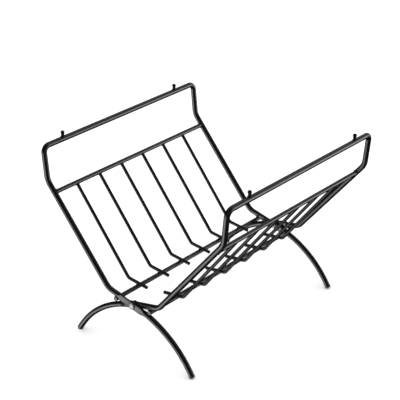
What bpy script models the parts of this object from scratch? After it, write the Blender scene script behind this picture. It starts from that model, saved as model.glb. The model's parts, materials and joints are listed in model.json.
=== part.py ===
"""Folding firewood rack: two identical bent-tube frames crossed on a pair of rivets.

Each frame is one continuous tube with a bar across its top, two sloping sides that hold the
logs, and two curved legs. The tube is pressed flat where the frames cross. One frame is the
other turned half a turn about the vertical, so all of a frame's pieces are made once.
Metres, +Z up. +Y runs along the pivot axis, as the logs lie. The origin is on the floor under
the middle of the rack.
"""

import math

import bmesh
import bpy
from mathutils import Vector

# ---- driving dimensions ----
GAP = 0.0003                # clearance kept between neighbouring pieces

HALF_LENGTH = 0.200         # from the middle to the plane where the two frames meet
SIDE_SHIFT = 0.0003         # each frame stands this much towards its own outer end

TUBE_RADIUS = 0.005
TUBE_WALL = 0.0012
CROSSBAR_RADIUS = 0.004
ROD_RADIUS = 0.003

PIVOT_HEIGHT = 0.0938
TOP_REACH = 0.1985          # sideways distances are measured from the pivot axis
TOP_HEIGHT = 0.3304         # heights are measured from the floor
KNUCKLE_REACH = 0.1923
KNUCKLE_HEIGHT = 0.2700
BEND_REACH = 0.0565
BEND_HEIGHT = 0.1075
LEG_START = 0.0082
FOOT_REACH = 0.1290
FOOT_CENTRE_HEIGHT = 0.0016

TOP_CORNER_RADIUS = 0.012
KNUCKLE_RADIUS = 0.029
BEND_RADIUS = 0.0245

# the stretch pressed flat for the pivot, measured along the tube from the pivot
PRESS_HALF_WIDTH = 0.0069
PRESS_HALF_THICKNESS = 0.0021
PRESS_UP_SIDE = 0.0275
PRESS_LEG_SIDE = 0.0180
SHOULDER_LENGTH = 0.0065    # each shoulder eases back to the round tube
LEG_SHOULDER_LENGTH = 0.0120
PLATE_GAP = 0.0012          # between the two pressed stretches, with the washer in it

UPPER_CROSSBAR_DROP = 0.114  # share of the way from the knuckle to the lower bend
LOWER_CROSSBAR_REACH = 0.038
ROD_COUNT = 6
ROD_TOP_OFFSET = -0.0005    # the rods start in the side tubes' plane and lean outwards,
ROD_LOWER_OFFSET = 0.0044   # to this far outside it at the lower bend
ROD_SHIFT = 0.0035          # rods sit off centre, so the folded frames interleave
PEG_SHIFT = 0.0048          # and so do the pegs
ROD_BEND_RADIUS = 0.0085
ROD_TOE_SLOPE = math.radians(7)
ROD_TOE_REACH = 0.0167
ROD_CHAMFER = 0.0006

PEG_HALF_SPACING = 0.1486
PEG_HEIGHT = 0.0156         # from the top bar's centre line to the top of the peg
PEG_NECK_RADIUS = 0.0030
PEG_HEAD_RADIUS = 0.0036

PIN_RADIUS = 0.0030
PIN_HOLE_RADIUS = 0.0033
RIVET_HEAD_RADIUS = 0.0065
RIVET_HEAD_HEIGHT = 0.0028
TAIL_HEAD_RADIUS = 0.0047
TAIL_HEAD_HEIGHT = 0.0018
WASHER_RADIUS = 0.0065
PIVOT_WASHER_THICKNESS = 0.0006
TAIL_WASHER_THICKNESS = 0.0010

PLUG_HEAD_LENGTH = 0.0030
PLUG_STEM_LENGTH = 0.0100
PLUG_EDGE = 0.0006

TUBE_SIDES = 16
BAR_SIDES = 16
ROD_SIDES = 12
ARC_STEP = math.radians(11.25)

# ---- dimensions that follow from them, measured from the pivot axis ----
UP = Vector((0, 0, 1))
ALONG = Vector((0, 1, 0))
TOP = Vector((-TOP_REACH, 0, TOP_HEIGHT - PIVOT_HEIGHT))
KNUCKLE = Vector((-KNUCKLE_REACH, 0, KNUCKLE_HEIGHT - PIVOT_HEIGHT))
BEND = Vector((-BEND_REACH, 0, BEND_HEIGHT - PIVOT_HEIGHT))
FOOT = Vector((FOOT_REACH, 0, FOOT_CENTRE_HEIGHT - PIVOT_HEIGHT))
FLAT_DIRECTION = -BEND.normalized()
SIDE_DIRECTION = (KNUCKLE - BEND).normalized()
SIDE_OUTWARD = Vector((-SIDE_DIRECTION.z, 0, SIDE_DIRECTION.x))
PRESS_CENTRE = PLATE_GAP / 2 + PRESS_HALF_THICKNESS
PLATE_OUTER = PLATE_GAP / 2 + 2 * PRESS_HALF_THICKNESS


def clear_scene():
    for item in list(bpy.data.objects):
        bpy.data.objects.remove(item)


def make_material(name, colour, roughness, metallic):
    material = bpy.data.materials.new(name)
    material.use_nodes = True
    shader = material.node_tree.nodes["Principled BSDF"]
    shader.inputs["Base Color"].default_value = (*colour, 1)
    shader.inputs["Roughness"].default_value = roughness
    shader.inputs["Metallic"].default_value = metallic
    return material


# ---- mesh helpers ----
def loft(name, rings, cyclic=False):
    """One closed body through a list of rings; cyclic joins the last ring to the first."""
    bm = bmesh.new()
    loops = [[bm.verts.new(point) for point in ring] for ring in rings]
    count = len(rings[0])
    pairs = list(zip(loops, loops[1:]))
    if cyclic:
        pairs.append((loops[-1], loops[0]))
    else:
        bm.faces.new(loops[0])
        bm.faces.new(loops[-1])
    for first, second in pairs:
        for i in range(count):
            j = (i + 1) % count
            bm.faces.new((first[i], first[j], second[j], second[i]))
    return finish_mesh(name, bm)


def finish_mesh(name, bm):
    bmesh.ops.recalc_face_normals(bm, faces=bm.faces)
    mesh = bpy.data.meshes.new(name)
    bm.to_mesh(mesh)
    bm.free()
    mesh.shade_smooth()
    mesh.set_sharp_from_angle(angle=math.radians(35))
    return mesh


def circle_ring(centre, across, inward, radius, sides):
    turns = (math.tau * i / sides for i in range(sides))
    return [centre + across * radius * math.cos(a) + inward * radius * math.sin(a) for a in turns]


def turned(name, profile, sides):
    """A turned piece on its own Z axis, from (radius, height) pairs."""
    return loft(name, [disc_ring(radius, height, sides) for radius, height in profile])


def disc_ring(radius, height, sides):
    return circle_ring(Vector((0, 0, height)), Vector((1, 0, 0)), ALONG, radius, sides)


def washer(name, outer, inner, low, high, sides):
    corners = ((inner, low), (outer, low), (outer, high), (inner, high))
    return loft(name, [disc_ring(radius, height, sides) for radius, height in corners], cyclic=True)


def add_object(name, mesh, parent, material, location=(0, 0, 0), rotation=(0, 0, 0)):
    mesh.materials.clear()
    mesh.materials.append(material)
    item = bpy.data.objects.new(name, mesh)
    bpy.context.scene.collection.objects.link(item)
    item.parent = parent
    item.location = location
    item.rotation_euler = rotation
    return item


def add_empty(name, location, rotation=(0, 0, 0)):
    item = bpy.data.objects.new(name, None)
    bpy.context.scene.collection.objects.link(item)
    item.location = location
    item.rotation_euler = rotation
    return item


# ---- centre lines, in the plane of a frame's side ----
def arc_points(corner, before, after, radius):
    """Points of a round bend at a corner, and the direction of travel at each of them."""
    start_direction = (corner - before).normalized()
    end_direction = (after - corner).normalized()
    turn = start_direction.angle(end_direction)
    tangent = radius * math.tan(turn / 2)
    start = corner - start_direction * tangent
    inward = (end_direction - start_direction * math.cos(turn)).normalized()
    steps = max(2, math.ceil(turn / ARC_STEP))
    result = []
    for i in range(steps + 1):
        a = turn * i / steps
        point = start + start_direction * radius * math.sin(a) + inward * radius * (1 - math.cos(a))
        direction = start_direction * math.cos(a) + inward * math.sin(a)
        result.append((point, direction))
    return result


def leg_arc():
    """Start, downward normal, radius and turn of the arc from the flat stretch to the foot."""
    start = FLAT_DIRECTION * (LEG_START / FLAT_DIRECTION.x)
    chord = FOOT - start
    half_turn = FLAT_DIRECTION.angle(chord)
    radius = chord.length / (2 * math.sin(half_turn))
    normal = Vector((FLAT_DIRECTION.z, 0, -FLAT_DIRECTION.x))
    return start, normal, radius, 2 * half_turn


def leg_point(distance):
    """Point and direction at a distance along the tube from the pivot, on the leg side."""
    start, normal, radius, _ = leg_arc()
    a = (distance - start.length) / radius
    if a <= 0:
        return FLAT_DIRECTION * distance, FLAT_DIRECTION.copy()
    point = start + FLAT_DIRECTION * radius * math.sin(a) + normal * radius * (1 - math.cos(a))
    return point, FLAT_DIRECTION * math.cos(a) + normal * math.sin(a)


def leg_length():
    start, _, radius, turn = leg_arc()
    return start.length + radius * turn


def side_line():
    """(point, direction, pressed share) from the tube's end at the foot up to the top corner."""
    line = []
    tube_end = leg_length() - PLUG_HEAD_LENGTH - GAP
    press_end = PRESS_LEG_SIDE + LEG_SHOULDER_LENGTH
    steps = 8
    for i in range(steps):
        point, direction = leg_point(tube_end + (press_end - tube_end) * i / steps)
        line.append((point, -direction, 0.0))
    for share in (0.0, 0.5, 1.0):
        point, direction = leg_point(press_end - LEG_SHOULDER_LENGTH * share)
        line.append((point, -direction, ease(share)))
    for share in (1.0, 0.5, 0.0):
        distance = PRESS_UP_SIDE + SHOULDER_LENGTH * (1 - share)
        line.append((-FLAT_DIRECTION * distance, -FLAT_DIRECTION, ease(share)))
    for point, direction in arc_points(BEND, Vector((0, 0, 0)), KNUCKLE, BEND_RADIUS):
        line.append((point, direction, 0.0))
    for point, direction in arc_points(KNUCKLE, BEND, TOP, KNUCKLE_RADIUS):
        line.append((point, direction, 0.0))
    return line


def ease(share):
    return share * share * (3 - 2 * share)


# ---- the bent tube ----
def tube_ring(centre, across, inward, pressed, inset):
    """Round ring blended into the pressed outline; inset is the wall thickness for the bore."""
    radius = TUBE_RADIUS - inset
    half_width = PRESS_HALF_WIDTH - inset
    half_thickness = PRESS_HALF_THICKNESS - inset
    straight = half_width - half_thickness
    ring = []
    for i in range(TUBE_SIDES):
        a = math.tau * i / TUBE_SIDES
        c, s = math.cos(a), math.sin(a)
        if abs(s) > math.sin(math.pi / 4) - 1e-6:
            u, v = straight * c / math.cos(math.pi / 4), math.copysign(half_thickness, s)
        else:
            u = math.copysign(straight, c) + half_thickness * math.cos(2 * a) * math.copysign(1, c)
            v = half_thickness * math.sin(2 * a) * math.copysign(1, c)
        u = radius * c + (u - radius * c) * pressed
        v = radius * s + (v - radius * s) * pressed
        ring.append(centre + across * u + inward * v)
    return ring


def hoop_stations():
    """(centre, across, inward, pressed share) all the way round the tube, foot to foot."""
    near = -HALF_LENGTH - SIDE_SHIFT
    far = HALF_LENGTH - SIDE_SHIFT
    stations = []
    for point, direction, pressed in side_line():
        stations.append(side_station(point, direction, pressed, near, 1))
    near_top = TOP + ALONG * near
    far_top = TOP + ALONG * far
    upper = (TOP - KNUCKLE).normalized()
    corners = arc_points(near_top, near_top - upper, far_top, TOP_CORNER_RADIUS)
    corners += arc_points(far_top, near_top, far_top - upper, TOP_CORNER_RADIUS)
    across = ALONG.cross(upper)
    for point, direction in corners:
        stations.append((point, across, across.cross(-direction), 0.0))
    for point, direction, pressed in reversed(side_line()):
        stations.append(side_station(point, -direction, pressed, far, -1))
    return stations


def side_station(point, direction, pressed, plane, inward_sign):
    """A station on one side; the pressed stretch lies towards -Y of the frames' meeting plane."""
    meeting_plane = math.copysign(HALF_LENGTH, plane)
    shift = (meeting_plane - PRESS_CENTRE - plane) * pressed
    inward = ALONG * inward_sign
    return point + ALONG * (plane + shift), inward.cross(direction), inward, pressed


def hoop_mesh():
    stations = hoop_stations()
    outside = [tube_ring(*station, 0.0) for station in stations]
    bore = [tube_ring(*station, TUBE_WALL) for station in reversed(stations)]
    return loft("frame_tube", outside + bore, cyclic=True)


# ---- bars, rods and pegs ----
def bar_mesh(name, radius, low, high, edge):
    """A straight bar along Y with bevelled ends."""
    across = Vector((1, 0, 0))
    rings = []
    for y, r in ((low, radius - edge), (low + edge, radius), (high - edge, radius), (high, radius - edge)):
        rings.append(circle_ring(ALONG * y, across, UP, r, BAR_SIDES))
    return loft(name, rings)


def upper_crossbar_centre():
    return KNUCKLE + (BEND - KNUCKLE) * UPPER_CROSSBAR_DROP


def lower_crossbar_centre():
    """Welded under its own frame's flat stretch, just clear of the other frame's leg."""
    below = Vector((FLAT_DIRECTION.z, 0, -FLAT_DIRECTION.x)) * (TUBE_RADIUS + CROSSBAR_RADIUS + GAP)
    return below - FLAT_DIRECTION * ((LOWER_CROSSBAR_REACH + below.x) / FLAT_DIRECTION.x)


def rod_line():
    """Centre line of a grille rod: down along the side, round the bend, toe on the crossbar."""
    toe_direction = Vector((math.cos(ROD_TOE_SLOPE), 0, -math.sin(ROD_TOE_SLOPE)))
    toe_up = Vector((math.sin(ROD_TOE_SLOPE), 0, math.cos(ROD_TOE_SLOPE)))
    rest = lower_crossbar_centre() + toe_up * (CROSSBAR_RADIUS + ROD_RADIUS + GAP)
    toe = rest + toe_direction * ((-ROD_TOE_REACH - rest.x) / toe_direction.x)
    side_start = upper_crossbar_centre() + SIDE_OUTWARD * ROD_TOP_OFFSET
    down = (BEND + SIDE_OUTWARD * ROD_LOWER_OFFSET - side_start).normalized()
    top = side_start + down * (CROSSBAR_RADIUS + GAP)
    normal = Vector((-down.z, 0, down.x))
    corner = toe - toe_direction * ((toe - top).dot(normal) / toe_direction.dot(normal))
    bend = arc_points(corner, top, toe, ROD_BEND_RADIUS)
    line = [(top, down, ROD_RADIUS - ROD_CHAMFER), (top + down * ROD_CHAMFER, down, ROD_RADIUS)]
    line += [(point, direction, ROD_RADIUS) for point, direction in bend]
    line.append((toe - toe_direction * ROD_CHAMFER, toe_direction, ROD_RADIUS))
    line.append((toe, toe_direction, ROD_RADIUS - ROD_CHAMFER))
    return line


def rod_mesh():
    rings = []
    for point, direction, radius in rod_line():
        rings.append(circle_ring(point, ALONG.cross(direction), ALONG, radius, ROD_SIDES))
    return loft("grille_rod", rings)


def peg_mesh():
    """A short pin with a rounded head, standing on the top bar."""
    base = TUBE_RADIUS + GAP
    head_middle = PEG_HEIGHT - PEG_HEAD_RADIUS
    neck_angle = math.asin(PEG_NECK_RADIUS / PEG_HEAD_RADIUS)
    profile = [(PEG_NECK_RADIUS, base)]
    steps = 6
    for i in range(steps + 1):
        a = neck_angle + (math.pi * 0.92 - neck_angle) * i / steps
        profile.append((PEG_HEAD_RADIUS * math.sin(a), head_middle - PEG_HEAD_RADIUS * math.cos(a)))
    return turned("tote_peg", profile, ROD_SIDES)


# ---- feet ----
def plug_mesh():
    """An end plug: its stem is in the tube's bore, and its sole is cut level with the floor."""
    stem = TUBE_RADIUS - TUBE_WALL - GAP
    profile = (
        (stem - PLUG_EDGE, -PLUG_HEAD_LENGTH - PLUG_STEM_LENGTH),
        (stem, PLUG_EDGE - PLUG_HEAD_LENGTH - PLUG_STEM_LENGTH),
        (stem, -PLUG_HEAD_LENGTH - PLUG_STEM_LENGTH / 2),
        (stem, -PLUG_HEAD_LENGTH),
        (TUBE_RADIUS, -PLUG_HEAD_LENGTH),
        (TUBE_RADIUS, -PLUG_EDGE),
        (TUBE_RADIUS - PLUG_EDGE, 0.0),
    )
    rings = []
    for radius, distance in profile:
        point, direction = leg_point(leg_length() + distance)
        rings.append(circle_ring(point, ALONG.cross(direction), ALONG, radius, TUBE_SIDES))
    mesh = loft("foot_plug", rings)
    bm = bmesh.new()
    bm.from_mesh(mesh)
    floor = Vector((0, 0, -PIVOT_HEIGHT))
    everything = bm.verts[:] + bm.edges[:] + bm.faces[:]
    bmesh.ops.bisect_plane(bm, geom=everything, plane_co=floor, plane_no=-UP, clear_outer=True)
    open_edges = [edge for edge in bm.edges if edge.is_boundary]
    bmesh.ops.holes_fill(bm, edges=open_edges, sides=0)
    return finish_mesh("foot_plug", bm)


# ---- pivot hardware, turned on the pivot axis, +Z outwards, zero at the meeting plane ----
def rivet_mesh():
    head_base = PLATE_OUTER + GAP
    tail_base = -PLATE_OUTER - GAP - TAIL_WASHER_THICKNESS - GAP
    profile = [
        (TAIL_HEAD_RADIUS * 0.8, tail_base - TAIL_HEAD_HEIGHT),
        (TAIL_HEAD_RADIUS, tail_base - TAIL_HEAD_HEIGHT * 0.6),
        (TAIL_HEAD_RADIUS, tail_base),
        (PIN_RADIUS, tail_base),
        (PIN_RADIUS, head_base),
        (RIVET_HEAD_RADIUS, head_base),
    ]
    steps = 5
    for i in range(1, steps + 1):
        a = math.radians(82) * i / steps
        profile.append((RIVET_HEAD_RADIUS * math.cos(a), head_base + RIVET_HEAD_HEIGHT * math.sin(a)))
    return turned("pivot_rivet", profile, TUBE_SIDES)


def pivot_washer_mesh():
    half = PIVOT_WASHER_THICKNESS / 2
    return washer("pivot_washer", WASHER_RADIUS, PIN_HOLE_RADIUS, -half, half, TUBE_SIDES)


def tail_washer_mesh():
    high = -PLATE_OUTER - GAP
    low = high - TAIL_WASHER_THICKNESS
    return washer("tail_washer", WASHER_RADIUS, PIN_HOLE_RADIUS, low, high, TUBE_SIDES)


def make_hole_cutter():
    """One long drill through all four pressed stretches, on the pivot axis."""
    half = HALF_LENGTH + TUBE_RADIUS * 4
    rings = [
        circle_ring(UP * PIVOT_HEIGHT + ALONG * y, Vector((1, 0, 0)), UP, PIN_HOLE_RADIUS, TUBE_SIDES)
        for y in (-half, half)
    ]
    cutter = bpy.data.objects.new("pivot_hole_drill", loft("pivot_hole_drill", rings))
    bpy.context.scene.collection.objects.link(cutter)
    cutter.hide_render = True
    cutter.display_type = "WIRE"
    return cutter


def drill(item, cutter):
    modifier = item.modifiers.new("pivot holes", "BOOLEAN")
    modifier.operation = "DIFFERENCE"
    modifier.solver = "EXACT"
    modifier.object = cutter


# ---- assembly ----
def build_frame(side, pivot, meshes, coat, plastic, cutter, ends):
    """All the pieces of one frame; ends names the frame's own -Y and +Y ends."""
    tube = add_object(f"{side}_frame_tube", meshes["tube"], pivot, coat)
    drill(tube, cutter)
    add_object(f"{side}_upper_crossbar", meshes["upper"], pivot, coat, upper_crossbar_centre())
    add_object(f"{side}_lower_crossbar", meshes["lower"], pivot, coat, lower_crossbar_centre())
    pitch = 2 * HALF_LENGTH / (ROD_COUNT + 1)
    for i in range(ROD_COUNT):
        number = i + 1 if ends[0] == "front" else ROD_COUNT - i
        y = (i - (ROD_COUNT - 1) / 2) * pitch - ROD_SHIFT
        add_object(f"{side}_grille_rod_{number}", meshes["rod"], pivot, coat, (0, y, 0))
    for end, sign in zip(ends, (-1, 1)):
        peg_place = TOP + ALONG * (sign * PEG_HALF_SPACING - PEG_SHIFT)
        add_object(f"{side}_tote_peg_{end}", meshes["peg"], pivot, coat, peg_place)
        plug_place = ALONG * (sign * HALF_LENGTH - SIDE_SHIFT)
        add_object(f"{side}_foot_plug_{end}", meshes["plug"], pivot, plastic, plug_place)


def frame_meshes():
    inner_reach = HALF_LENGTH - TUBE_RADIUS - GAP
    outer_reach = HALF_LENGTH + TUBE_RADIUS * 0.8
    edge = 0.0005
    return {
        "tube": hoop_mesh(),
        "upper": bar_mesh("upper_crossbar", CROSSBAR_RADIUS, -inner_reach - SIDE_SHIFT,
                          inner_reach - SIDE_SHIFT, edge),
        "lower": bar_mesh("lower_crossbar", CROSSBAR_RADIUS, -outer_reach, outer_reach, edge),
        "rod": rod_mesh(),
        "peg": peg_mesh(),
        "plug": plug_mesh(),
    }


def build_pivots(pivot, steel):
    rivet = rivet_mesh()
    pivot_washer = pivot_washer_mesh()
    tail_washer = tail_washer_mesh()
    for end, sign in (("front", -1), ("back", 1)):
        place = (0, sign * HALF_LENGTH, 0)
        turn = (-sign * math.pi / 2, 0, 0)
        add_object(f"pivot_rivet_{end}", rivet, pivot, steel, place, turn)
        add_object(f"pivot_washer_{end}", pivot_washer, pivot, steel, place, turn)
        add_object(f"tail_washer_{end}", tail_washer, pivot, steel, place, turn)


def build():
    clear_scene()
    coat = make_material("black_powder_coat", (0.018, 0.018, 0.020), 0.38, 0.0)
    plastic = make_material("black_plastic", (0.012, 0.012, 0.012), 0.55, 0.0)
    steel = make_material("bright_steel", (0.62, 0.62, 0.63), 0.30, 1.0)
    left_pivot = add_empty("left_pivot", (0, 0, PIVOT_HEIGHT))
    right_pivot = add_empty("right_pivot", (0, 0, PIVOT_HEIGHT), (0, 0, math.pi))
    meshes = frame_meshes()
    cutter = make_hole_cutter()
    build_frame("left", left_pivot, meshes, coat, plastic, cutter, ("front", "back"))
    build_frame("right", right_pivot, meshes, coat, plastic, cutter, ("back", "front"))
    build_pivots(left_pivot, steel)


build()
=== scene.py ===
# %% [markdown]
# # A folding firewood rack in black powder coat
#
# The rack is two identical frames, bent from steel tube, that cross like an X and turn on two
# rivets. Each frame has a bar across its top, a grille of thin rods that the logs lie on, and
# two curved legs. This lesson builds every piece the way a metal shop would: feed the tube,
# roll it round a former, press it flat where it is drilled, and weld the bars to it.
#
# The imported model gives the places and the sizes, so we load it first.

# %% Load the imported frame
import json
import math

import bmesh
import bpy
from mathutils import Matrix, Vector


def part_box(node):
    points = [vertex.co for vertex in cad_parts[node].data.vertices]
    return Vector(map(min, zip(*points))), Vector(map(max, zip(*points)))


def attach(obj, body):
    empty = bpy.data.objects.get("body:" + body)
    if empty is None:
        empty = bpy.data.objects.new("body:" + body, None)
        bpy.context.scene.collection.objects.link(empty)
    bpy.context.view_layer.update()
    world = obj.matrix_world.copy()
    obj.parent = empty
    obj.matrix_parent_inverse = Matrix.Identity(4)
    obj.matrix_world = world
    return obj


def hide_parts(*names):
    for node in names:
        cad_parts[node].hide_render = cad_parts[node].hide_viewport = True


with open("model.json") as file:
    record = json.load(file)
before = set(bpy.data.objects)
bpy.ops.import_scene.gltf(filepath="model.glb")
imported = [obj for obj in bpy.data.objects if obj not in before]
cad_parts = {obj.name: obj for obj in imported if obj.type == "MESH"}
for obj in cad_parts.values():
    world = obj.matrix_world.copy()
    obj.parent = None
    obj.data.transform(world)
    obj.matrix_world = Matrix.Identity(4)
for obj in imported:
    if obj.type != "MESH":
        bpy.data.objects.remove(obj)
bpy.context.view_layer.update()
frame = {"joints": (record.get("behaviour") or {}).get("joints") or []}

# %% [markdown]
# ## Sizes
#
# A node's box says where it is. The tube's box ends at the outside of its bends, so the centre
# line is one tube radius inside it. The hinge in the record is the middle of both rivets.
# The bends that no box can show are a short bending sheet: where the centre line's corners are,
# measured from the pivot, and how tight each bend is.

# %% Read the places from the frame
TUBE_RADIUS = 0.005
TUBE_WALL = 0.0012
PIVOT = Vector(frame["joints"][0]["pos_m"])
UP = Vector((0, 0, 1))
ALONG = Vector((0, 1, 0))

tube_low, tube_high = (Vector(corner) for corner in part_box("left_frame_tube"))
NEAR_PLANE = tube_low.y + TUBE_RADIUS
FAR_PLANE = tube_high.y - TUBE_RADIUS
MEETING_PLANE = (FAR_PLANE - NEAR_PLANE) / 2
TOP = Vector((tube_low.x + TUBE_RADIUS, 0, tube_high.z - TUBE_RADIUS)) - PIVOT
print("planes of the left frame:", round(NEAR_PLANE, 4), round(FAR_PLANE, 4))
print("top bar, from the pivot:", [round(value, 4) for value in TOP])

# %% The bending sheet, measured from the pivot
KNUCKLE = Vector((-0.1923, 0, 0.1762))
LOWER_BEND = Vector((-0.0565, 0, 0.0137))
FOOT = Vector((0.1290, 0, -0.0922))
FLAT_DIRECTION = -LOWER_BEND.normalized()
LEG_START = FLAT_DIRECTION * (0.0082 / FLAT_DIRECTION.x)

TOP_CORNER_RADIUS = 0.012
KNUCKLE_RADIUS = 0.029
LOWER_BEND_RADIUS = 0.0245

leg_chord = FOOT - LEG_START
leg_half_turn = FLAT_DIRECTION.angle(leg_chord)
LEG_RADIUS = leg_chord.length / (2 * math.sin(leg_half_turn))
LEG_CORNER = LEG_START + FLAT_DIRECTION * LEG_RADIUS * math.tan(leg_half_turn)
FOOT_DIRECTION = (FOOT - LEG_CORNER).normalized()
print("leg bend radius:", round(LEG_RADIUS, 4), "turn:", round(math.degrees(2 * leg_half_turn), 1))

# %% [markdown]
# ## The tube bender
#
# A tube bender does two things: it feeds the tube forward, and it rolls it round a former. In
# bmesh the feed is an extrude and a move of the last ring, and the roll is a spin of the last
# ring about the former's axis. We could also sweep a curve, but then a bend would be only a
# guess between points. Here every bend is a true arc, as on the real machine.

# %% Feed and roll
def ring_matrix(centre, direction):
    """A place for a ring: its own Z axis lies along the direction."""
    return Matrix.Translation(centre) @ direction.to_track_quat("Z", "Y").to_matrix().to_4x4()


def start_ring(bm, centre, direction, radius, sides):
    place = ring_matrix(centre, direction)
    made = bmesh.ops.create_circle(bm, cap_ends=False, radius=radius, segments=sides, matrix=place)
    return list({edge for vert in made["verts"] for edge in vert.link_edges})


def feed(bm, ring, direction, length, steps=1):
    """Pushes the tube forward: one extrude for each step."""
    for _ in range(steps):
        made = bmesh.ops.extrude_edge_only(bm, edges=ring)["geom"]
        verts = [item for item in made if isinstance(item, bmesh.types.BMVert)]
        ring = [item for item in made if isinstance(item, bmesh.types.BMEdge)
                and all(vert in verts for vert in item.verts)]
        bmesh.ops.translate(bm, vec=direction * length / steps, verts=verts)
    return ring


def roll(bm, ring, centre, axis, angle, steps):
    """Bends the tube: the last ring spins about the former's axis."""
    made = bmesh.ops.spin(bm, geom=ring, cent=centre, axis=axis, angle=angle, steps=steps,
                          use_duplicate=False)
    return [item for item in made["geom_last"] if isinstance(item, bmesh.types.BMEdge)]


# %% [markdown]
# A bending sheet lists corners and radii. A bend starts one tangent length before its corner,
# and that length is the radius times the tangent of half the turn. What is left between two
# bends is the straight feed. A span can be fed in fine steps, so that the press that comes later
# has rings to move. A span that isn't is one long facet, and the press tapers it from end to end.

# %% Follow a bending sheet
FINE_STEP = 0.0015


def bend_to_sheet(bm, corners, radii, radius, sides, step, fine=()):
    """Sweeps a ring through the corners; spans listed in fine are fed in short steps."""
    tangents = [0.0]
    for i in range(1, len(corners) - 1):
        turn = (corners[i] - corners[i - 1]).angle(corners[i + 1] - corners[i])
        tangents.append(radii[i - 1] * math.tan(turn / 2))
    tangents.append(0.0)
    direction = (corners[1] - corners[0]).normalized()
    ring = start_ring(bm, corners[0], direction, radius, sides)
    position = corners[0].copy()
    for i in range(1, len(corners)):
        length = (corners[i] - corners[i - 1]).length - tangents[i - 1] - tangents[i]
        if length > 1e-5:
            steps = math.ceil(length / FINE_STEP) if i in fine else 1
            ring = feed(bm, ring, direction, length, steps)
            position = position + direction * length
        if i < len(corners) - 1:
            after = (corners[i + 1] - corners[i]).normalized()
            axis = direction.cross(after).normalized()
            turn = direction.angle(after)
            centre = position + axis.cross(direction) * radii[i - 1]
            steps = max(6, math.ceil(turn / step[i - 1]))
            ring = roll(bm, ring, centre, axis, turn, steps)
            position = corners[i] + after * tangents[i]
            direction = after
    return ring


def new_piece(name, bm, coat, sharp=35):
    """Closes the books on a bmesh: merge, turn the faces out, shade smooth, make the object."""
    bmesh.ops.remove_doubles(bm, verts=bm.verts, dist=1e-6)
    bmesh.ops.recalc_face_normals(bm, faces=bm.faces)
    mesh = bpy.data.meshes.new(name)
    bm.to_mesh(mesh)
    bm.free()
    mesh.shade_smooth()
    mesh.set_sharp_from_angle(angle=math.radians(sharp))
    mesh.materials.append(coat)
    piece = bpy.data.objects.new(name, mesh)
    bpy.context.scene.collection.objects.link(piece)
    return piece


# %% [markdown]
# ## Powder coat
#
# Dry black powder is sprayed on the bare frame and melted in an oven. The film flows into a fine
# orange peel, keeps a satin gloss, is a little thinner and greyer on sharp edges, and collects a
# trace of dust. All of it is noise on Object coordinates, so the pattern stays on the piece when
# the rack folds. The rods, pegs and welds take a copy of the coat with less specular than the
# tube's. This is painted shade, in place of the shade that logs lying in the rack cast on the
# grille. Thin edges are found with Pointiness, which measures how convex the mesh is at a point.

# %% Small helpers for shader nodes
def new_material(name):
    material = bpy.data.materials.new(name)
    material.use_nodes = True
    return material, material.node_tree.nodes, material.node_tree.links


def noise(nodes, links, coordinates, scale, detail, roughness=0.5):
    node = nodes.new("ShaderNodeTexNoise")
    node.inputs["Scale"].default_value = scale
    node.inputs["Detail"].default_value = detail
    node.inputs["Roughness"].default_value = roughness
    links.new(coordinates, node.inputs["Vector"])
    return node.outputs["Fac"]


def remap(nodes, links, value, low, high, new_low, new_high):
    node = nodes.new("ShaderNodeMapRange")
    node.interpolation_type = "SMOOTHSTEP"
    node.inputs["From Min"].default_value = low
    node.inputs["From Max"].default_value = high
    node.inputs["To Min"].default_value = new_low
    node.inputs["To Max"].default_value = new_high
    links.new(value, node.inputs["Value"])
    return node.outputs["Result"]


def combine(nodes, links, operation, first, second):
    node = nodes.new("ShaderNodeMath")
    node.operation = operation
    for socket, value in zip(node.inputs, (first, second)):
        if isinstance(value, (int, float)):
            socket.default_value = value
        else:
            links.new(value, socket)
    return node.outputs["Value"]


def blend_colour(nodes, links, factor, first, second):
    node = nodes.new("ShaderNodeMix")
    node.data_type = "RGBA"
    links.new(factor, node.inputs["Factor"])
    for socket, colour in ((node.inputs["A"], first), (node.inputs["B"], second)):
        if isinstance(colour, tuple):
            socket.default_value = (*colour, 1)
        else:
            links.new(colour, socket)
    return node.outputs["Result"]


def add_bump(nodes, links, height, strength, distance, previous=None):
    node = nodes.new("ShaderNodeBump")
    node.inputs["Strength"].default_value = strength
    node.inputs["Distance"].default_value = distance
    links.new(height, node.inputs["Height"])
    if previous is not None:
        links.new(previous, node.inputs["Normal"])
    return node.outputs["Normal"]


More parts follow.
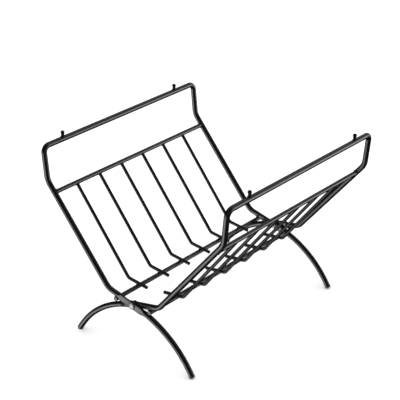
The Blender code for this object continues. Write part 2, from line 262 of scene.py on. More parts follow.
# %% Satin black powder coat
def powder_coat(name, peel_scale, gloss, ripple_scale=None):
    """Black powder coat; ripple_scale adds the ridges that a weld leaves under the film."""
    material, nodes, links = new_material(name)
    shader = nodes["Principled BSDF"]
    shader.inputs["Specular IOR Level"].default_value = gloss
    place = nodes.new("ShaderNodeTexCoord").outputs["Object"]
    pointiness = nodes.new("ShaderNodeNewGeometry").outputs["Pointiness"]

    cloud = noise(nodes, links, place, 26, 3)
    speck = noise(nodes, links, place, 2400, 2, 0.7)
    tint = remap(nodes, links, cloud, 0.35, 0.68, 0, 1)
    film = blend_colour(nodes, links, tint, (0.0026, 0.0027, 0.0030), (0.0044, 0.0044, 0.0047))
    dust = remap(nodes, links, speck, 0.66, 0.80, 0, 0.35)
    film = blend_colour(nodes, links, dust, film, (0.016, 0.016, 0.016))

    edge = remap(nodes, links, pointiness, 0.56, 0.66, 0, 1)
    patches = remap(nodes, links, noise(nodes, links, place, 420, 3, 0.6), 0.42, 0.62, 0, 1)
    thin = combine(nodes, links, "MULTIPLY", edge, patches)
    film = blend_colour(nodes, links, thin, film, (0.050, 0.049, 0.047))
    links.new(film, shader.inputs["Base Color"])

    satin = remap(nodes, links, noise(nodes, links, place, 70, 4, 0.6), 0.30, 0.72, 0.22, 0.31)
    satin = combine(nodes, links, "SUBTRACT", satin, combine(nodes, links, "MULTIPLY", thin, 0.05))
    links.new(satin, shader.inputs["Roughness"])

    peel = noise(nodes, links, place, peel_scale, 2, 0.4)
    normal = add_bump(nodes, links, peel, 0.45, 0.00018)
    if ripple_scale is not None:
        ripple = noise(nodes, links, place, ripple_scale, 1, 0.3)
        normal = add_bump(nodes, links, ripple, 0.6, 0.0004, normal)
    links.new(normal, shader.inputs["Normal"])
    return material


TUBE_COAT = powder_coat("powder_coat_on_tube", 950, 0.50)
# painted shade: the rod and weld coats have less specular than the tube's, in place of the shade
# that logs in the rack cast on the grille
SHADED_ROD_COAT = powder_coat("shaded_powder_coat_on_rod", 1100, 0.28)
SHADED_WELD_COAT = powder_coat("shaded_powder_coat_on_weld", 1100, 0.28, ripple_scale=700)
print("coats:", TUBE_COAT.name, SHADED_ROD_COAT.name, SHADED_WELD_COAT.name)

# %% [markdown]
# ## The frame tube
#
# One length of 10 mm tube makes a whole frame: up one leg, through the pivot, up the side, over
# the top, and down again. The two sides are in parallel planes, so the sheet is walked once in
# three dimensions, from foot to foot.

# %% Bend the tube
def at_plane(point, plane):
    return PIVOT + point + ALONG * plane


def frame_corners():
    side = [FOOT, LEG_CORNER, LOWER_BEND, KNUCKLE, TOP]
    near = [at_plane(point, NEAR_PLANE) for point in side]
    far = [at_plane(point, FAR_PLANE) for point in reversed(side)]
    return near + far


SIDE_RADII = [LEG_RADIUS, LOWER_BEND_RADIUS, KNUCKLE_RADIUS, TOP_CORNER_RADIUS]
BEND_STEPS = [math.radians(turn) for turn in (0.7, 3, 3, 6)]
PRESSED_SPANS = (2, 7)      # the near side's flat, and the far side's slope


def bent_tube():
    bm = bmesh.new()
    bend_to_sheet(bm, frame_corners(), SIDE_RADII + SIDE_RADII[::-1], TUBE_RADIUS, 32,
                  BEND_STEPS + BEND_STEPS[::-1], PRESSED_SPANS)
    return bm


# %% [markdown]
# ## Pressing the pivot flats
#
# Where the frames cross, the round tube is pressed into a flat oval, so that the two frames can
# lie side by side and the rivet gets a flat seat. The press moves each point from its place on
# the circle to the matching place on the oval, fully in the middle and less and less over the
# shoulders. It also pushes the flat to one side, so that one frame's flat passes beside the
# other's. The near side's flat is fed in fine steps and gets short shoulders. The far side's has
# no rings between its bends, so there the press leaves one long taper.

# %% Press the tube flat at the pivot
PRESS_HALF_WIDTH = 0.0069
PRESS_HALF_THICKNESS = 0.0021
PRESS_UP_SIDE = 0.0275
PRESS_LEG_SIDE = 0.0180
SHOULDER_LENGTH = 0.0065
LEG_SHOULDER_LENGTH = 0.0120
PRESS_CENTRE = 0.0027
PRESS_REACH = 0.05          # nothing further than this from the pivot is pressed
SECTION_POWER = {"above": 2.0, "below": 3.4}
DOWNWARD = Vector((FLAT_DIRECTION.z, 0, -FLAT_DIRECTION.x))


def along_and_below(place):
    """Distance along the tube from the pivot, distance below its centre line, and that way."""
    along = place.dot(FLAT_DIRECTION)
    if along <= LEG_START.length:
        return along, place.dot(DOWNWARD), DOWNWARD
    arm = place - (LEG_START + DOWNWARD * LEG_RADIUS)
    turn = math.atan2(arm.dot(FLAT_DIRECTION), -arm.dot(DOWNWARD))
    return LEG_START.length + LEG_RADIUS * turn, LEG_RADIUS - arm.length, -arm.normalized()


def pressed_share(along):
    edge = PRESS_LEG_SIDE if along > 0 else PRESS_UP_SIDE
    shoulder = LEG_SHOULDER_LENGTH if along > 0 else SHOULDER_LENGTH
    share = 1 - (abs(along) - edge) / shoulder
    share = min(max(share, 0), 1)
    return share * share * (3 - 2 * share)


def flat_oval(angle):
    """The point of the pressed outline that a point of the round tube moves to.

    It is a squared oval below the centre line and a rounder one above it.
    """
    c, s = math.cos(angle), math.sin(angle)
    power = 2 / SECTION_POWER["below" if c > 0 else "above"]
    across = math.copysign(PRESS_HALF_WIDTH * abs(c) ** power, c)
    return across, math.copysign(PRESS_HALF_THICKNESS * abs(s) ** power, s)


def press_flat(bm, plane):
    """Presses the tube whose centre line is in the given plane."""
    target = math.copysign(MEETING_PLANE, plane) - PRESS_CENTRE
    for vert in bm.verts:
        if vert.co.y * plane < 0 or abs(vert.co.y - plane) > TUBE_RADIUS * 1.01:
            continue
        place = vert.co - PIVOT
        place.y = 0
        along, below, down = along_and_below(place)
        share = pressed_share(along) if place.length < PRESS_REACH else 0
        if share > 0:
            side = vert.co.y - plane
            new_below, new_side = flat_oval(math.atan2(side, below))
            vert.co += down * (new_below - below) * share
            vert.co.y += (new_side + target - plane - side) * share


# %% [markdown]
# ## Walls, cut ends and rivet holes
#
# The bender leaves only a skin. Cutting the ends square and giving the skin a wall makes it a
# tube, open at both feet, where the end plugs go. The rivet holes are drilled last, straight
# through both walls, with a Boolean whose result is kept as the tube's mesh.

# %% Finish the tube
PLUG_HEAD = 0.0033
HOLE_RADIUS = 0.0033
END_REACH = 0.03            # how far round a tube's end the cut looks for faces
DRILL_LENGTH = 0.44


def cut_end(bm, plane):
    end = at_plane(FOOT - FOOT_DIRECTION * PLUG_HEAD, plane)
    near_end = [vert for vert in bm.verts if (vert.co - end).length < END_REACH]
    edges = {edge for vert in near_end for edge in vert.link_edges}
    faces = {face for vert in near_end for face in vert.link_faces}
    geometry = near_end + list(edges) + list(faces)
    bmesh.ops.bisect_plane(bm, geom=geometry, plane_co=end, plane_no=FOOT_DIRECTION,
                           clear_outer=True)


def drill_holes(piece):
    bm = bmesh.new()
    place = Matrix.Translation(PIVOT) @ Matrix.Rotation(math.pi / 2, 4, "X")
    bmesh.ops.create_cone(bm, cap_ends=True, segments=32, radius1=HOLE_RADIUS,
                          radius2=HOLE_RADIUS, depth=DRILL_LENGTH, matrix=place)
    drill = new_piece("drill", bm, TUBE_COAT)
    cut = piece.modifiers.new("rivet holes", "BOOLEAN")
    cut.operation = "DIFFERENCE"
    cut.solver = "EXACT"
    cut.object = drill
    evaluated = piece.evaluated_get(bpy.context.evaluated_depsgraph_get())
    mesh = bpy.data.meshes.new_from_object(evaluated)
    mesh.name = piece.name
    piece.modifiers.clear()
    piece.data = mesh
    bpy.data.objects.remove(drill)


def finished_tube():
    bm = bent_tube()
    for plane in (NEAR_PLANE, FAR_PLANE):
        press_flat(bm, plane)
        cut_end(bm, plane)
    bmesh.ops.recalc_face_normals(bm, faces=bm.faces)
    bmesh.ops.solidify(bm, geom=bm.faces[:], thickness=TUBE_WALL)
    piece = new_piece("left_bent_tube", bm, TUBE_COAT)
    drill_holes(piece)
    return piece


left_tube = finished_tube()
print("tube faces:", len(left_tube.data.polygons))

# %% [markdown]
# ## Two frames from one
#
# The right frame is the same part, turned half a turn about the vertical. So each piece is made
# once, for the left frame, and a turned copy of its mesh is the right frame's. The copy's place
# stays in its mesh, so its pattern and its motion start from the same origin.

# %% Turn a copy for the right frame
HALF_TURN = Matrix.Rotation(math.pi, 4, "Z")
OTHER_END = {"front": "back", "back": "front"}


def fit_piece(piece, body, node=None):
    """Attaches the piece to the body that it moves with, and hides the node that it stands for."""
    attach(piece, body)
    if node is not None:
        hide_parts(node)


def turned_copy(piece, name):
    copy = bpy.data.objects.new(name, piece.data.copy())
    copy.data.name = name
    copy.data.transform(HALF_TURN)
    bpy.context.scene.collection.objects.link(copy)
    return copy


def fit_pair(piece, name, node=None, right_name=None, right_node=None):
    """Fits the left frame's piece, and a turned copy of it for the right frame."""
    right_name = right_name or name
    fit_piece(piece, "left_frame", node and f"left_{node}")
    copy = turned_copy(piece, f"right_{right_name}")
    fit_piece(copy, "right_frame", node and f"right_{right_node or node}")


fit_pair(left_tube, "bent_tube", "frame_tube")

# %% [markdown]
# ## Crossbars
#
# A thinner solid bar joins the two sides below the top, and another passes under them beside
# the pivot, where it also stops the other frame. The upper bar's ends are coped: ground hollow
# to sit against the round tube. We make a straight bar and push its end ring back by the
# tube's own curve.

# %% Straight bars
def cope(verts, axis_point, axis, away, host_radius):
    """Pushes an end's points away from its host, along the host's round surface."""
    across = axis.cross(away)
    for vert in verts:
        offset = min(abs((vert.co - axis_point).dot(across)), host_radius)
        drop = host_radius - math.sqrt(host_radius ** 2 - offset ** 2)
        vert.co -= away * drop


def ring_verts(ring):
    return list({vert for edge in ring for vert in edge.verts})


def close_ring(bm, ring):
    bmesh.ops.contextual_create(bm, geom=ring)


def centre_and_radius(node):
    low, high = (Vector(corner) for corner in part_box(node))
    return (low + high) / 2, (high.z - low.z) / 2, low, high


upper_centre, BAR_RADIUS, upper_low, upper_high = centre_and_radius("left_upper_crossbar")
lower_centre, _, lower_low, lower_high = centre_and_radius("left_lower_crossbar")
SIDE_DIRECTION = (KNUCKLE - LOWER_BEND).normalized()


def upper_bar():
    bm = bmesh.new()
    start = Vector((upper_centre.x, upper_low.y, upper_centre.z))
    first = start_ring(bm, start, ALONG, BAR_RADIUS, 32)
    last = feed(bm, first, ALONG, upper_high.y - upper_low.y, 2)
    for ring, plane, away in ((first, NEAR_PLANE, ALONG), (last, FAR_PLANE, -ALONG)):
        host = Vector((upper_centre.x, plane, upper_centre.z))
        cope(ring_verts(ring), host, SIDE_DIRECTION, away, TUBE_RADIUS)
        close_ring(bm, ring)
    return new_piece("left_upper_bar", bm, TUBE_COAT)


def lower_bar():
    bm = bmesh.new()
    start = Vector((lower_centre.x, lower_low.y, lower_centre.z))
    first = start_ring(bm, start, ALONG, BAR_RADIUS, 32)
    last = feed(bm, first, ALONG, lower_high.y - lower_low.y)
    for ring in (first, last):
        close_ring(bm, ring)
    ends = [edge for edge in bm.edges if abs(edge.verts[0].co.y - edge.verts[1].co.y) < 1e-6]
    bmesh.ops.bevel(bm, geom=ends, offset=0.0006, affect="EDGES", segments=3, profile=0.5,
                    material=-1)
    return new_piece("left_lower_bar", bm, TUBE_COAT)


fit_pair(upper_bar(), "upper_bar", "upper_crossbar")
fit_pair(lower_bar(), "lower_bar", "lower_crossbar")
print("bar radius:", round(BAR_RADIUS, 4), "upper bar at", [round(v, 4) for v in upper_centre])

# %% [markdown]
# ## The grille rods
#
# Six thin rods run down each frame's slope, bend near their lower end, and pass over the lower
# crossbar. Their top ends are coped to the upper crossbar, in line with the sides, and they lean
# out a little on the way down. A rod's box gives its place along the rack and its toe's end.

# %% Bend one grille rod, then repeat it
ROD_RADIUS = 0.003
ROD_CLEARANCE = 0.0003      # under the toe, where it passes over the lower crossbar
ROD_TOP_OFFSET = -0.0005
ROD_LOWER_OFFSET = 0.0044
ROD_BEND_RADIUS = 0.0085
TOE_SLOPE = math.radians(7)
ROD_COUNT = 6
SIDE_OUTWARD = Vector((-SIDE_DIRECTION.z, 0, SIDE_DIRECTION.x))
TOE_DIRECTION = Vector((math.cos(TOE_SLOPE), 0, -math.sin(TOE_SLOPE)))
TOE_UP = Vector((math.sin(TOE_SLOPE), 0, math.cos(TOE_SLOPE)))
ROD_START = Vector((upper_centre.x, 0, upper_centre.z)) + SIDE_OUTWARD * ROD_TOP_OFFSET
ROD_DOWN = (PIVOT + LOWER_BEND + SIDE_OUTWARD * ROD_LOWER_OFFSET - ROD_START).normalized()


def rod_corners(y):
    top = ROD_START + ALONG * y + ROD_DOWN * BAR_RADIUS
    _, _, _, high = centre_and_radius("left_grille_rod_1")
    bar = Vector((lower_centre.x, y, lower_centre.z))
    rest = bar + TOE_UP * (BAR_RADIUS + ROD_RADIUS + ROD_CLEARANCE)
    toe = rest + TOE_DIRECTION * ((high.x - rest.x) / TOE_DIRECTION.x)
    normal = Vector((-ROD_DOWN.z, 0, ROD_DOWN.x))
    corner = toe - TOE_DIRECTION * ((toe - top).dot(normal) / TOE_DIRECTION.dot(normal))
    return [top, corner, toe]


def grille_rod(name, y):
    bm = bmesh.new()
    corners = rod_corners(y)
    last = bend_to_sheet(bm, corners, [ROD_BEND_RADIUS], ROD_RADIUS, 24, [math.radians(3)])
    first = [edge for edge in bm.edges if edge.is_boundary and edge not in last]
    cope(ring_verts(first), ROD_START + ALONG * y, ALONG, ROD_DOWN, BAR_RADIUS)
    close_ring(bm, first)
    close_ring(bm, last)
    toe_end = [edge for edge in last if edge.is_valid]
    bmesh.ops.bevel(bm, geom=toe_end, offset=0.0005, affect="EDGES", segments=3, profile=0.5,
                    material=-1)
    return new_piece(name, bm, SHADED_ROD_COAT)


def rod_place(number):
    low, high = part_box(f"left_grille_rod_{number}")
    return (low[1] + high[1]) / 2


for number in range(1, ROD_COUNT + 1):
    rod = grille_rod(f"left_rod_{number}", rod_place(number))
    mirrored = ROD_COUNT + 1 - number
    fit_pair(rod, f"rod_{number}", f"grille_rod_{number}",
             f"rod_{mirrored}", f"grille_rod_{mirrored}")
print("rods at y:", [round(rod_place(number), 4) for number in range(1, ROD_COUNT + 1)])

# %% [markdown]
# ## Pegs for the carrying tote
#
# Two short pegs with round heads stand on each top bar, and a tote's eyelets hook over them. A
# peg is a turned part, so its outline is drawn once and spun a full turn.

# %% Turn a profile into a solid
def turned(name, outline, place, coat, steps=32, sharp=35):
    """Spins an outline of (radius, height) pairs about its own Z axis, then puts it in place."""
    bm = bmesh.new()
    verts = [bm.verts.new((radius, 0, height)) for radius, height in outline]
    edges = [bm.edges.new(pair) for pair in zip(verts, verts[1:])]
    bmesh.ops.spin(bm, geom=edges, cent=(0, 0, 0), axis=(0, 0, 1), angle=math.tau, steps=steps,
                   use_merge=True, use_duplicate=False)
    bmesh.ops.transform(bm, matrix=place, verts=bm.verts)
    return new_piece(name, bm, coat, sharp)


def arc(centre_radius, centre_height, radius, start, end, steps):
    """Points of an outline on an arc; the angles are measured up from the outward direction."""
    angles = [start + (end - start) * i / steps for i in range(steps + 1)]
    return [(centre_radius + radius * math.cos(a), centre_height + radius * math.sin(a))
            for a in angles]


# %% The pegs
PEG_NECK_RADIUS = 0.0030


def peg(name, node):
    low, high = (Vector(corner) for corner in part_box(node))
    head_radius = (high.x - low.x) / 2
    head_height = high.z - low.z - head_radius
    neck_top = -math.acos(PEG_NECK_RADIUS / head_radius)
    outline = [(0, -0.0012), (PEG_NECK_RADIUS, -0.0012)]
    outline += [(PEG_NECK_RADIUS, 0.0006), (PEG_NECK_RADIUS - 0.0002, 0.0024)]
    outline += arc(0, head_height, head_radius, neck_top, math.pi / 2 - 0.03, 14)
    outline.append((0, head_height + head_radius))
    place = Matrix.Translation(((low.x + high.x) / 2, (low.y + high.y) / 2, low.z))
    return turned(name, outline, place, SHADED_ROD_COAT, sharp=50)


for end in ("front", "back"):
    fit_pair(peg(f"left_peg_{end}", f"left_tote_peg_{end}"), f"peg_{end}",
             f"tote_peg_{end}", f"peg_{OTHER_END[end]}", f"tote_peg_{OTHER_END[end]}")

# %% [markdown]
# ## Weld beads
#
# Each joint has a small bead where the metal flowed. A bar that ends on a tube gets a ring that
# follows the tube's curve, with the scales of a moving torch. Where two bars only cross, a
# short bead fills the notch on each side. The powder coat covers them, so they share its look,
# with a coarser bump.

# %% Bead shapes
def weld_ring(bm, host_point, host_axis, away, host_radius, guest_radius, bead):
    """A rippled ring round a guest bar that ends on a round host."""
    before = set(bm.verts)
    section = Matrix.Translation((guest_radius + bead * 0.35, 0, bead * 0.30))
    section = section @ Matrix.Rotation(math.pi / 2, 4, "X")
    made = bmesh.ops.create_circle(bm, cap_ends=False, radius=bead, segments=10, matrix=section)
    edges = list({edge for vert in made["verts"] for edge in vert.link_edges})
    bmesh.ops.spin(bm, geom=edges, cent=(0, 0, 0), axis=(0, 0, 1), angle=math.tau, steps=40,
                   use_merge=True, use_duplicate=False)
    verts = [vert for vert in bm.verts if vert not in before]
    for vert in verts:
        turn = math.atan2(vert.co.y, vert.co.x)
        out = Vector((math.cos(turn), math.sin(turn), 0))
        core = out * (guest_radius + bead * 0.35) + Vector((0, 0, bead * 0.30))
        swell = 1 + 0.10 * math.sin(turn * 13) + 0.08 * math.sin(turn * 3 + 1)
        vert.co = core + (vert.co - core) * swell
        offset = min(abs(guest_radius * math.cos(turn)), host_radius)
        vert.co.z -= host_radius - math.sqrt(host_radius ** 2 - offset ** 2)
    across = host_axis.cross(away)
    axes = Matrix((across, host_axis, away)).transposed().to_4x4()
    place = Matrix.Translation(host_point + away * host_radius) @ axes
    bmesh.ops.transform(bm, matrix=place, verts=verts)


def weld_dab(bm, centre, direction, length, radius):
    """A short bead, longer than it is wide, for the notch between crossing bars."""
    axes = direction.to_track_quat("X", "Z").to_matrix().to_4x4()
    scale = Matrix.Diagonal((length / 2, radius, radius, 1))
    place = Matrix.Translation(centre) @ axes @ scale
    made = bmesh.ops.create_icosphere(bm, subdivisions=3, radius=1, matrix=place)
    for vert in made["verts"]:
        along = (vert.co - centre).dot(direction)
        swell = 0.06 * math.sin(along / length * 22)
        vert.co += (vert.co - centre - direction * along) * swell


# %% Weld the bars, rods and pegs
DAB_GAP = 0.0001            # from a bar's surface to the middle of the contact
DAB_LIFT = 0.0004           # a dab in a notch stands this much out of it
BAR_NOTCH, BAR_FILLET, ROD_NOTCH = 0.0031, 0.0023, 0.0023


def bar_welds():
    bm = bmesh.new()
    for plane, away in ((NEAR_PLANE, ALONG), (FAR_PLANE, -ALONG)):
        host = Vector((upper_centre.x, plane, upper_centre.z))
        weld_ring(bm, host, SIDE_DIRECTION, away, TUBE_RADIUS, BAR_RADIUS, 0.0009)
        contact = lower_centre - DOWNWARD * (BAR_RADIUS + DAB_GAP)
        for side in (-1, 1):
            notch = Vector((contact.x, plane + side * BAR_NOTCH, contact.z)) - DOWNWARD * DAB_LIFT
            weld_dab(bm, notch, FLAT_DIRECTION, 0.0062, 0.0011)
            fillet = contact + FLAT_DIRECTION * side * BAR_FILLET + ALONG * plane
            weld_dab(bm, fillet, ALONG, 0.0066, 0.0012)
    return new_piece("left_bar_welds", bm, SHADED_WELD_COAT, sharp=80)


def rod_welds():
    bm = bmesh.new()
    contact = lower_centre + TOE_UP * (BAR_RADIUS + DAB_GAP)
    for number in range(1, ROD_COUNT + 1):
        y = rod_place(number)
        weld_ring(bm, ROD_START + ALONG * y, ALONG, ROD_DOWN, BAR_RADIUS, ROD_RADIUS, 0.0007)
        for side in (-1, 1):
            notch = Vector((contact.x, y + side * ROD_NOTCH, contact.z)) + TOE_UP * DAB_LIFT
            weld_dab(bm, notch, TOE_DIRECTION, 0.0048, 0.0009)
    return new_piece("left_rod_welds", bm, SHADED_WELD_COAT, sharp=80)


def peg_welds():
    bm = bmesh.new()
    for end in ("front", "back"):
        low, high = (Vector(corner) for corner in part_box(f"left_tote_peg_{end}"))
        host = Vector(((low.x + high.x) / 2, (low.y + high.y) / 2, PIVOT.z + TOP.z))
        weld_ring(bm, host, ALONG, UP, TUBE_RADIUS, PEG_NECK_RADIUS, 0.0008)
    return new_piece("left_peg_welds", bm, SHADED_WELD_COAT, sharp=80)


fit_pair(bar_welds(), "bar_welds")
fit_pair(rod_welds(), "rod_welds")
fit_pair(peg_welds(), "peg_welds")

# %% [markdown]
# ## End plugs
#
# Soft black plugs close the legs and stand on the floor. A plug has a head as wide as the tube,
# a ribbed stem that grips the bore, and here a sole worn flat by standing. It is turned like
# the peg, pointed down the leg, and cut level with the floor. The plastic is duller than the
# coat, with a fine mould grain, and greyer near the floor, where it scuffs.

# %% Moulded plastic
def moulded_plastic():
    material, nodes, links = new_material("moulded_plug_plastic")
    shader = nodes["Principled BSDF"]
    place = nodes.new("ShaderNodeTexCoord").outputs["Object"]
    height = nodes.new("ShaderNodeSeparateXYZ")
    links.new(place, height.inputs["Vector"])
    near_floor = remap(nodes, links, height.outputs["Z"], 0.0, 0.0035, 1, 0)
    scratches = remap(nodes, links, noise(nodes, links, place, 900, 4, 0.7), 0.46, 0.62, 0, 1)
    scuff = combine(nodes, links, "MULTIPLY", near_floor, scratches)
    cloud = remap(nodes, links, noise(nodes, links, place, 140, 3), 0.3, 0.7, 0, 1)
    body = blend_colour(nodes, links, cloud, (0.010, 0.010, 0.010), (0.018, 0.018, 0.017))
    body = blend_colour(nodes, links, scuff, body, (0.075, 0.072, 0.066))
    links.new(body, shader.inputs["Base Color"])
    grain = noise(nodes, links, place, 3200, 2, 0.6)
    dull = remap(nodes, links, grain, 0.3, 0.7, 0.50, 0.66)
    links.new(combine(nodes, links, "ADD", dull, combine(nodes, links, "MULTIPLY", scuff, 0.2)),
              shader.inputs["Roughness"])
    links.new(add_bump(nodes, links, grain, 0.35, 0.00008), shader.inputs["Normal"])
    return material


PLASTIC = moulded_plastic()


# %% Turn and cut the plugs
def end_plug(name, plane):
    bore = TUBE_RADIUS - TUBE_WALL
    stem, rib = bore - 0.0004, bore - 0.0001
    outline = [(0, -0.0100), (stem - 0.0008, -0.0100), (stem, -0.0092)]
    for top in (-0.0084, -0.0068, -0.0052):
        outline += [(stem, top), (rib, top + 0.0003), (rib, top + 0.0007), (stem, top + 0.0010)]
    head = 0.0009
    outline += [(stem, -0.0030), (TUBE_RADIUS, -0.0030), (TUBE_RADIUS, -head)]
    outline += arc(TUBE_RADIUS - head, -head, head, 0, math.pi / 2, 6)[1:]
    outline.append((0, 0))
    place = ring_matrix(at_plane(FOOT, plane), FOOT_DIRECTION)
    piece = turned(name, outline, place, PLASTIC)
    bm = bmesh.new()
    bm.from_mesh(piece.data)
    everything = bm.verts[:] + bm.edges[:] + bm.faces[:]
    bmesh.ops.bisect_plane(bm, geom=everything, plane_co=(0, 0, 0), plane_no=(0, 0, -1),
                           clear_outer=True)
    bmesh.ops.holes_fill(bm, edges=[edge for edge in bm.edges if edge.is_boundary], sides=0)
    bm.to_mesh(piece.data)
    bm.free()
    piece.data.shade_smooth()
    piece.data.set_sharp_from_angle(angle=math.radians(35))
    return piece


for end, plane in (("front", NEAR_PLANE), ("back", FAR_PLANE)):
    fit_pair(end_plug(f"left_plug_{end}", plane), f"plug_{end}",
             f"foot_plug_{end}", f"plug_{OTHER_END[end]}", f"foot_plug_{OTHER_END[end]}")
print("foot direction:", [round(value, 3) for value in FOOT_DIRECTION])

# %% [markdown]
# ## Rivets and washers
#
# The pivots are bright zinc-plated rivets. The head outside is a low dome with a crisp rim, the
# tail inside is formed over a washer, and a thin washer keeps the two flats apart. All are
# turned on the pivot axis. Zinc is pale and slightly mottled, with fine turning lines round the
# axis. Its colour is darker in concave corners, such as under the head, which is painted shade.

# %% Zinc-plated steel
def zinc(name, low_rough, high_rough):
    material, nodes, links = new_material(name)
    shader = nodes["Principled BSDF"]
    shader.inputs["Metallic"].default_value = 0.85
    place = nodes.new("ShaderNodeTexCoord").outputs["Object"]
    pointiness = nodes.new("ShaderNodeNewGeometry").outputs["Pointiness"]
    mottle = remap(nodes, links, noise(nodes, links, place, 520, 4, 0.6), 0.35, 0.66, 0, 1)
    skin = blend_colour(nodes, links, mottle, (0.23, 0.235, 0.245), (0.33, 0.335, 0.34))
    # painted shade: concave corners, such as under the rivet head, get a darker colour
    hollow_shade = remap(nodes, links, pointiness, 0.40, 0.47, 0.7, 0)
    skin = blend_colour(nodes, links, hollow_shade, skin, (0.06, 0.058, 0.055))
    rim = remap(nodes, links, pointiness, 0.60, 0.72, 0, 0.8)
    skin = blend_colour(nodes, links, rim, skin, (0.42, 0.42, 0.42))
    links.new(skin, shader.inputs["Base Color"])
    smear = noise(nodes, links, place, 260, 3, 0.6)
    links.new(remap(nodes, links, smear, 0.3, 0.7, low_rough, high_rough),
              shader.inputs["Roughness"])
    rings = nodes.new("ShaderNodeTexWave")
    rings.wave_type = "RINGS"
    rings.rings_direction = "Y"
    rings.inputs["Scale"].default_value = 900
    rings.inputs["Distortion"].default_value = 1.5
    centred = nodes.new("ShaderNodeMapping")
    centred.inputs["Location"].default_value = -PIVOT
    links.new(place, centred.inputs["Vector"])
    links.new(centred.outputs["Vector"], rings.inputs["Vector"])
    links.new(add_bump(nodes, links, rings.outputs["Fac"], 0.12, 0.00005),
              shader.inputs["Normal"])
    return material


RIVET_ZINC = zinc("zinc_on_rivet", 0.40, 0.54)
WASHER_ZINC = zinc("zinc_on_washer", 0.46, 0.60)


# %% Rivets
def pivot_place(sign):
    """Local Z points outwards along the pivot axis, from the plane where the frames meet."""
    turn = Matrix.Rotation(-sign * math.pi / 2, 4, "X")
    return Matrix.Translation(PIVOT + ALONG * MEETING_PLANE * sign) @ turn


rivet_low, rivet_high = (Vector(corner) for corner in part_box("pivot_rivet_front"))
PLATE_OUTER = 0.0048
HEAD_RADIUS = (rivet_high.x - rivet_low.x) / 2
HEAD_BASE = PLATE_OUTER + 0.0003
HEAD_TOP = -rivet_low.y - MEETING_PLANE
TAIL_END = MEETING_PLANE + rivet_high.y
PIN_RADIUS = 0.0030
TAIL_RADIUS = 0.0047
WASHER_RADIUS = 0.0065
SPACER = (-0.0003, 0.0003)
TAIL_WASHER = (-0.0061, -0.0051)


def rivet_outline():
    rise = HEAD_TOP - HEAD_BASE
    tail_base = -PLATE_OUTER - 0.0016
    outline = [(0, -TAIL_END + 0.0009), (0.0016, -TAIL_END + 0.0006), (0.0026, -TAIL_END)]
    outline += [(TAIL_RADIUS * 0.80, -TAIL_END + 0.0001), (TAIL_RADIUS, -TAIL_END + 0.0007)]
    outline += [(TAIL_RADIUS, tail_base), (PIN_RADIUS, tail_base), (PIN_RADIUS, HEAD_BASE)]
    outline += [(HEAD_RADIUS - 0.0002, HEAD_BASE), (HEAD_RADIUS, HEAD_BASE + 0.0002)]
    rim, steps = 0.0003, 12
    for i in range(steps):
        a = math.radians(8 + 78 * i / (steps - 1))
        height = HEAD_BASE + rim + (rise - rim) * math.sin(a)
        outline.append((HEAD_RADIUS * math.cos(a), height))
    outline.append((0, HEAD_TOP))
    return outline


def washer_outline(outer, inner, low, high):
    edge = min(0.00015, (high - low) / 4)
    return [(inner, low + edge), (inner + edge, low), (outer - edge, low), (outer, low + edge),
            (outer, high - edge), (outer - edge, high), (inner + edge, high),
            (inner, high - edge), (inner, low + edge)]


for end, sign in (("front", -1), ("back", 1)):
    place = pivot_place(sign)
    rivet = turned(f"rivet_{end}", rivet_outline(), place, RIVET_ZINC, 48)
    fit_piece(rivet, "left_frame", f"pivot_rivet_{end}")
    spacer = turned(f"spacer_{end}", washer_outline(WASHER_RADIUS, HOLE_RADIUS, *SPACER), place,
                    WASHER_ZINC, 48)
    fit_piece(spacer, "left_frame", f"pivot_washer_{end}")
    tail = turned(f"tail_ring_{end}", washer_outline(WASHER_RADIUS, HOLE_RADIUS, *TAIL_WASHER),
                  place, WASHER_ZINC, 48)
    fit_piece(tail, "left_frame", f"tail_washer_{end}")
print("rivet head stands out by", round(HEAD_TOP - HEAD_BASE, 4))

# %% [markdown]
# ## Floor, light and camera
#
# Satin black metal shows only what it reflects, so the surroundings draw it. A tube in an even
# white room looks flat grey, and its edges melt away. So the room is dark with three soft
# panels: a wide low one in front and to the left puts a pale line on the tubes' left sides,
# one behind on the right edges the top bars, and a faint one overhead keeps them readable.
# The panels are smooth patches of the sky, which only reflections see: the floor gets an even
# white light, so it stays plain, with next to no shadow.

# %% Floor
def studio_floor():
    bm = bmesh.new()
    bmesh.ops.create_grid(bm, x_segments=8, y_segments=8, size=15)
    material, nodes, _ = new_material("studio_floor")
    shader = nodes["Principled BSDF"]
    shader.inputs["Base Color"].default_value = (0.95, 0.95, 0.95, 1)
    shader.inputs["Roughness"].default_value = 1.0
    shader.inputs["Specular IOR Level"].default_value = 0.0
    floor = new_piece("floor", bm, material)
    floor.visible_glossy = False
    return floor


floor = studio_floor()


# %% Soft panels in the sky
def sky_direction(azimuth, elevation):
    """Azimuth runs from the back towards the right; elevation is above the horizon."""
    azimuth, elevation = math.radians(azimuth), math.radians(elevation)
    level = math.cos(elevation)
    return math.sin(azimuth) * level, math.cos(azimuth) * level, math.sin(elevation)


SKY_PANELS = (
    {"azimuth": -156, "elevation": -27, "inner": 10, "outer": 37, "strength": 4.6},
    {"azimuth": 42, "elevation": -1, "inner": 7, "outer": 26, "strength": 4.6},
    {"azimuth": -12, "elevation": 50, "inner": 15, "outer": 60, "strength": 0.55},
)
SKY_DARK = 0.02
FLOOR_LIGHT = 1.25


def panel_glow(nodes, links, direction, panel):
    facing = nodes.new("ShaderNodeVectorMath")
    facing.operation = "DOT_PRODUCT"
    links.new(direction, facing.inputs[0])
    facing.inputs[1].default_value = sky_direction(panel["azimuth"], panel["elevation"])
    edge, core = (math.cos(math.radians(panel[key])) for key in ("outer", "inner"))
    return remap(nodes, links, facing.outputs["Value"], edge, core, 0, panel["strength"])


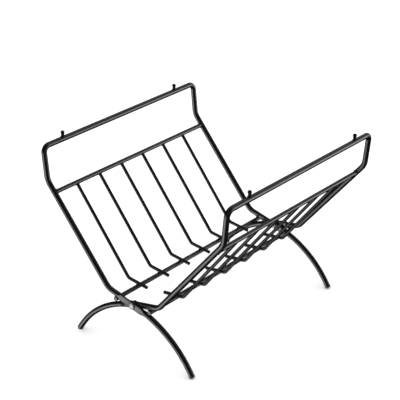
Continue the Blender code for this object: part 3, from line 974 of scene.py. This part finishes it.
def studio_sky():
    world = bpy.data.worlds.new("studio")
    world.use_nodes = True
    world.cycles.sampling_method = "NONE"
    nodes, links = world.node_tree.nodes, world.node_tree.links
    direction = nodes.new("ShaderNodeTexCoord").outputs["Generated"]
    glow = SKY_DARK
    for panel in SKY_PANELS:
        glow = combine(nodes, links, "ADD", glow, panel_glow(nodes, links, direction, panel))
    reflected = nodes.new("ShaderNodeLightPath").outputs["Is Glossy Ray"]
    background = nodes["Background"]
    background.inputs["Color"].default_value = (1, 1, 1, 1)
    strength = nodes.new("ShaderNodeMix")
    links.new(reflected, strength.inputs["Factor"])
    strength.inputs["A"].default_value = FLOOR_LIGHT
    links.new(glow, strength.inputs["B"])
    links.new(strength.outputs["Result"], background.inputs["Strength"])
    return world


bpy.context.scene.world = studio_sky()
bpy.context.scene.view_settings.view_transform = "Standard"
print("sky panels:", len(SKY_PANELS))


# %% One soft lamp overhead
def soft_lamp():
    light = bpy.data.lights.new("overhead", "AREA")
    light.shape = "SQUARE"
    light.size = 3
    light.energy = 6
    lamp = bpy.data.objects.new("overhead", light)
    bpy.context.scene.collection.objects.link(lamp)
    lamp.location = (-0.6, -0.4, 2.6)
    lamp.rotation_euler = (-lamp.location).to_track_quat("-Z", "Y").to_euler()
    lamp.visible_glossy = False
    return lamp


print("lamp:", soft_lamp().name)

# %% Camera
AZIMUTH = math.radians(39.109)
ELEVATION = math.radians(25.254)
ROLL = math.radians(0.10)
DISTANCE = 2.3776
TARGET = Vector((-0.0172, -0.0013, 0.2123))


def place_camera():
    reach = math.cos(ELEVATION)
    back = Vector((math.sin(AZIMUTH) * reach, -math.cos(AZIMUTH) * reach, math.sin(ELEVATION)))
    level = Vector((math.cos(AZIMUTH), math.sin(AZIMUTH), 0))
    upright = back.cross(level)
    right = level * math.cos(ROLL) + upright * math.sin(ROLL)
    data = bpy.data.cameras.new("camera")
    data.sensor_width = 36
    data.lens = 121.33
    camera = bpy.data.objects.new("camera", data)
    bpy.context.scene.collection.objects.link(camera)
    axes = Matrix((right, back.cross(right), back)).transposed().to_4x4()
    camera.matrix_world = Matrix.Translation(TARGET + back * DISTANCE) @ axes
    bpy.context.scene.camera = camera
    return camera


camera = place_camera()
print("camera at", [round(value, 3) for value in camera.location])
